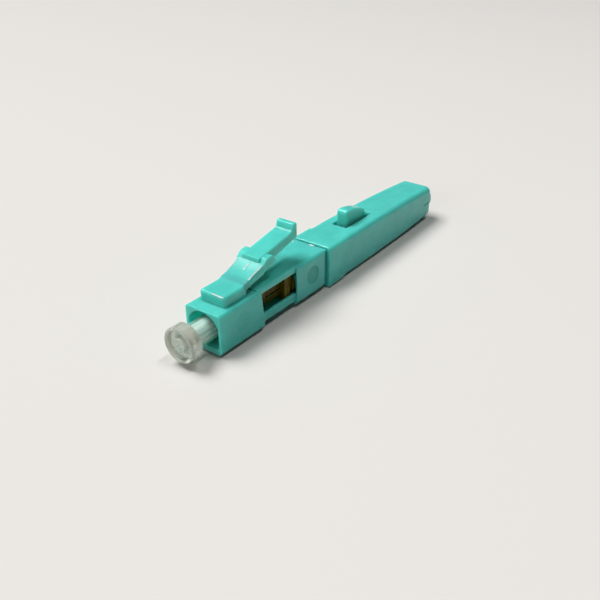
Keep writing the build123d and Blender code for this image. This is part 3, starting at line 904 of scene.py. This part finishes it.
def spring_tree():
    """Coil spring along X: an open helix between two closed end turns."""
    tree, start = tree_with_sockets(
        "Return spring coil",
        (
            ("Front", "NodeSocketFloat", 0.0),
            ("Length", "NodeSocketFloat", 0.005),
            ("Coil Radius", "NodeSocketFloat", 0.0014),
            ("Wire Radius", "NodeSocketFloat", 0.0001),
            ("Turns", "NodeSocketFloat", 4.0),
            ("Steps", "NodeSocketInt", 28),
            ("Material", "NodeSocketMaterial", None),
        ),
    )
    size = start.outputs
    coil = add_node(
        tree, "GeometryNodeCurveSpiral",
        {"Resolution": size["Steps"], "Rotations": size["Turns"],
         "Start Radius": size["Coil Radius"], "End Radius": size["Coil Radius"],
         "Height": size["Length"]})
    ring = add_node(
        tree, "GeometryNodeCurvePrimitiveCircle",
        {"Resolution": size["Steps"], "Radius": size["Coil Radius"]})
    lift = add_node(tree, "ShaderNodeCombineXYZ", {"Z": size["Length"]})
    far_ring = add_node(
        tree, "GeometryNodeTransform",
        {"Geometry": ring.outputs[0], "Translation": lift.outputs[0]})
    lines = add_node(tree, "GeometryNodeJoinGeometry")
    for part in (coil.outputs[0], ring.outputs[0], far_ring.outputs[0]):
        tree.links.new(part, lines.inputs[0])
    wire = add_node(
        tree, "GeometryNodeCurvePrimitiveCircle",
        {"Resolution": WIRE_SIDES, "Radius": size["Wire Radius"]})
    tube = add_node(
        tree, "GeometryNodeCurveToMesh",
        {"Curve": lines.outputs[0], "Profile Curve": wire.outputs[0], "Fill Caps": True})
    shift = add_node(tree, "ShaderNodeCombineXYZ", {"X": size["Front"]})
    laid = add_node(
        tree, "GeometryNodeTransform",
        {"Geometry": tube.outputs[0], "Translation": shift.outputs[0],
         "Rotation": (0.0, radians(90.0), 0.0)})
    finish_tree(tree, start, laid.outputs[0])
    return tree


# ---------------------------------------------------------------- operators


class PLUG_OT_moulded_plastic(bpy.types.Operator):
    """Finish the aqua housing, latch, inner body, button, sleeve and clamp"""

    bl_idname = "plug.moulded_plastic"
    bl_label = "Moulded plastic"

    def execute(self, context):
        settings = context.scene.fibre_plug.plastic
        plastic = moulded_plastic(
            MOULDED_NAME, settings, settings.body, settings.roughness, settings.specular)
        dress(MOULDED_NODES, plastic)
        return {"FINISHED"}


class PLUG_OT_dust_cap(bpy.types.Operator):
    """Finish the clear dust cap"""

    bl_idname = "plug.dust_cap"
    bl_label = "Dust cap"

    def execute(self, context):
        dress(("dust_cap",), cloudy_clear_plastic(context.scene.fibre_plug.cap))
        return {"FINISHED"}


class PLUG_OT_ferrule(bpy.types.Operator):
    """Finish the ceramic ferrule, its steel flange, the splice's clips and the fibre"""

    bl_idname = "plug.ferrule"
    bl_label = "Ferrule, steel and fibre"

    def execute(self, context):
        settings = context.scene.fibre_plug.ferrule
        dress(("ferrule",), polished_ceramic(settings))
        roughness = settings.steel_roughness
        dress(("ferrule_flange",), turned_steel("turned_steel", settings.steel, roughness))
        dress(CLIP_NODES, turned_steel("straw_spring_steel", settings.clip, roughness))
        dress(("fibre_stub",), bare_glass(settings))
        return {"FINISHED"}


class PLUG_OT_splice(bpy.types.Operator):
    """Finish the amber splice behind the side windows"""

    bl_idname = "plug.splice"
    bl_label = "Splice"

    def execute(self, context):
        dress(SPLICE_NODES, amber_plastic(context.scene.fibre_plug.splice))
        return {"FINISHED"}


class PLUG_OT_return_spring(bpy.types.Operator):
    """Wind the return spring and put it in place of its plain solid"""

    bl_idname = "plug.return_spring"
    bl_label = "Return spring"

    def execute(self, context):
        settings = context.scene.fibre_plug.spring
        low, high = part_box("return_spring")
        values = {
            "Front": low.x + settings.wire,
            "Length": high.x - low.x - 2 * settings.wire,
            "Coil Radius": settings.mean,
            "Wire Radius": settings.wire,
            "Turns": settings.turns,
            "Material": turned_steel("spring_wire_steel", settings.steel, settings.roughness),
        }
        spring = piece_from_tree("spring_coil", spring_tree(), values)
        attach(spring, "plug")
        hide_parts("return_spring")
        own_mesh(spring)
        return {"FINISHED"}


class PLUG_OT_mould_details(bpy.types.Operator):
    """Add the low ridges on the latch and on its pad and the dome on the neck, pale as painted
    highlights
    """

    bl_idname = "plug.mould_details"
    bl_label = "Mould details"

    def execute(self, context):
        settings = context.scene.fibre_plug.mould
        plastic = context.scene.fibre_plug.plastic
        # Pale plastic of the ridges and the dome: a painted highlight
        pale = moulded_plastic(
            "pale_aqua_plastic", plastic, settings.pale, settings.polish, settings.specular)

        def ridges(shape):
            ridge(shape, MIDDLE_RIDGE, middle_place, settings)
            for side in (-1, 1):
                ridge(shape, RIM_RIDGE, lambda x: rim_place(x, side), settings)

        details = (
            ("latch_ridges", ridges, "latch"),
            ("pad_ridge", lambda shape: ridge(shape, PAD_RIDGE, pad_place, settings), "plug"),
            ("gate_mark", lambda shape: gate_mark(shape, settings), "plug"),
        )
        for name, build, body in details:
            piece = new_piece(name, build)
            piece.data.materials.append(pale)
            soften(piece)
            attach(piece, body)
        return {"FINISHED"}


class PLUG_OT_latch_skin(bpy.types.Operator):
    """Lay the skin that joins the latch's root to the housing"""

    bl_idname = "plug.latch_skin"
    bl_label = "Latch skin"

    def execute(self, context):
        settings = context.scene.fibre_plug.mould
        skin = new_piece("latch_skin", lambda shape: root_skin(shape, settings))
        skin.data.materials.append(bpy.data.materials[MOULDED_NAME])
        soften(skin)
        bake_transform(skin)
        return {"FINISHED"}


def area_light(name, watts, size, place, aim):
    """Soft rectangular light at a place, turned to a point."""
    lamp = bpy.data.lights.new(name, "AREA")
    lamp.shape = "RECTANGLE"
    lamp.size, lamp.size_y = size
    lamp.energy = watts
    lamp_object = bpy.data.objects.new(name, lamp)
    lamp_object.location = place
    lamp_object.rotation_euler = (aim - place).to_track_quat("-Z", "Y").to_euler()
    bpy.context.scene.collection.objects.link(lamp_object)


class PLUG_OT_stage(bpy.types.Operator):
    """Set the floor, the lights and the camera"""

    bl_idname = "plug.stage"
    bl_label = "Stage"

    def execute(self, context):
        settings = context.scene.fibre_plug.stage
        scene = context.scene
        low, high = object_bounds()
        middle = (low + high) / 2

        def disc(shape):
            bmesh.ops.create_circle(
                shape, cap_ends=True, segments=FLOOR_SIDES, radius=FLOOR_RADIUS,
                matrix=Matrix.Translation((middle.x, middle.y, low.z - FLOOR_GAP)))

        floor = new_piece("floor", disc)
        floor.data.materials.append(pale_floor(settings))
        floor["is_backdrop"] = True
        for name, setting, size, offset in LAMPS:
            area_light(name, getattr(settings, setting), size, middle + Vector(offset), middle)
        world = bpy.data.worlds.new("even_sky")
        world.use_nodes = True
        sky = world.node_tree.nodes["Background"]
        sky.inputs["Color"].default_value = (1.0, 1.0, 1.0, 1.0)
        sky.inputs["Strength"].default_value = settings.sky
        scene.world = world
        scene.view_settings.view_transform = "Standard"
        camera_data = bpy.data.cameras.new("camera")
        camera_data.sensor_width = CAMERA_SENSOR
        camera_data.lens = CAMERA_LENS
        camera_data.clip_start, camera_data.clip_end = CAMERA_CLIP
        camera = bpy.data.objects.new("camera", camera_data)
        camera.location = CAMERA_PLACE
        camera.rotation_euler = Euler([radians(angle) for angle in CAMERA_TURN])
        scene.collection.objects.link(camera)
        scene.camera = camera
        return {"FINISHED"}


OPERATORS = (
    PLUG_OT_moulded_plastic,
    PLUG_OT_dust_cap,
    PLUG_OT_ferrule,
    PLUG_OT_splice,
    PLUG_OT_return_spring,
    PLUG_OT_mould_details,
    PLUG_OT_latch_skin,
    PLUG_OT_stage,
)


class VIEW3D_PT_fibre_plug(bpy.types.Panel):
    """Sizes, colours and steps of the fibre plug"""

    bl_idname = "VIEW3D_PT_fibre_plug"
    bl_label = "Fibre plug"
    bl_space_type = "VIEW_3D"
    bl_region_type = "UI"
    bl_category = "Fibre plug"

    def draw(self, context):
        settings = context.scene.fibre_plug
        for group in ("plastic", "cap", "ferrule", "splice", "spring", "mould", "stage"):
            box = self.layout.box()
            box.label(text=group.capitalize())
            part = getattr(settings, group)
            for name in part.__annotations__:
                box.prop(part, name)
        for operator in OPERATORS:
            self.layout.operator(operator.bl_idname)


CLASSES = (
    MouldedPlasticSettings,
    DustCapSettings,
    FerruleSettings,
    SpliceSettings,
    ReturnSpringSettings,
    MouldDetailSettings,
    StageSettings,
    PlugSettings,
    *OPERATORS,
    VIEW3D_PT_fibre_plug,
)


def register():
    """Register the classes and the settings on the scene."""
    for cls in CLASSES:
        bpy.utils.register_class(cls)
    bpy.types.Scene.fibre_plug = PointerProperty(type=PlugSettings)


def unregister():
    """Take the settings and the classes away again."""
    del bpy.types.Scene.fibre_plug
    for cls in reversed(CLASSES):
        bpy.utils.unregister_class(cls)


def main():
    """Run every step in order."""
    register()
    bpy.ops.plug.moulded_plastic()
    bpy.ops.plug.dust_cap()
    bpy.ops.plug.ferrule()
    bpy.ops.plug.splice()
    bpy.ops.plug.return_spring()
    bpy.ops.plug.mould_details()
    bpy.ops.plug.latch_skin()
    bpy.ops.plug.stage()


if __name__ == "__main__":
    main()
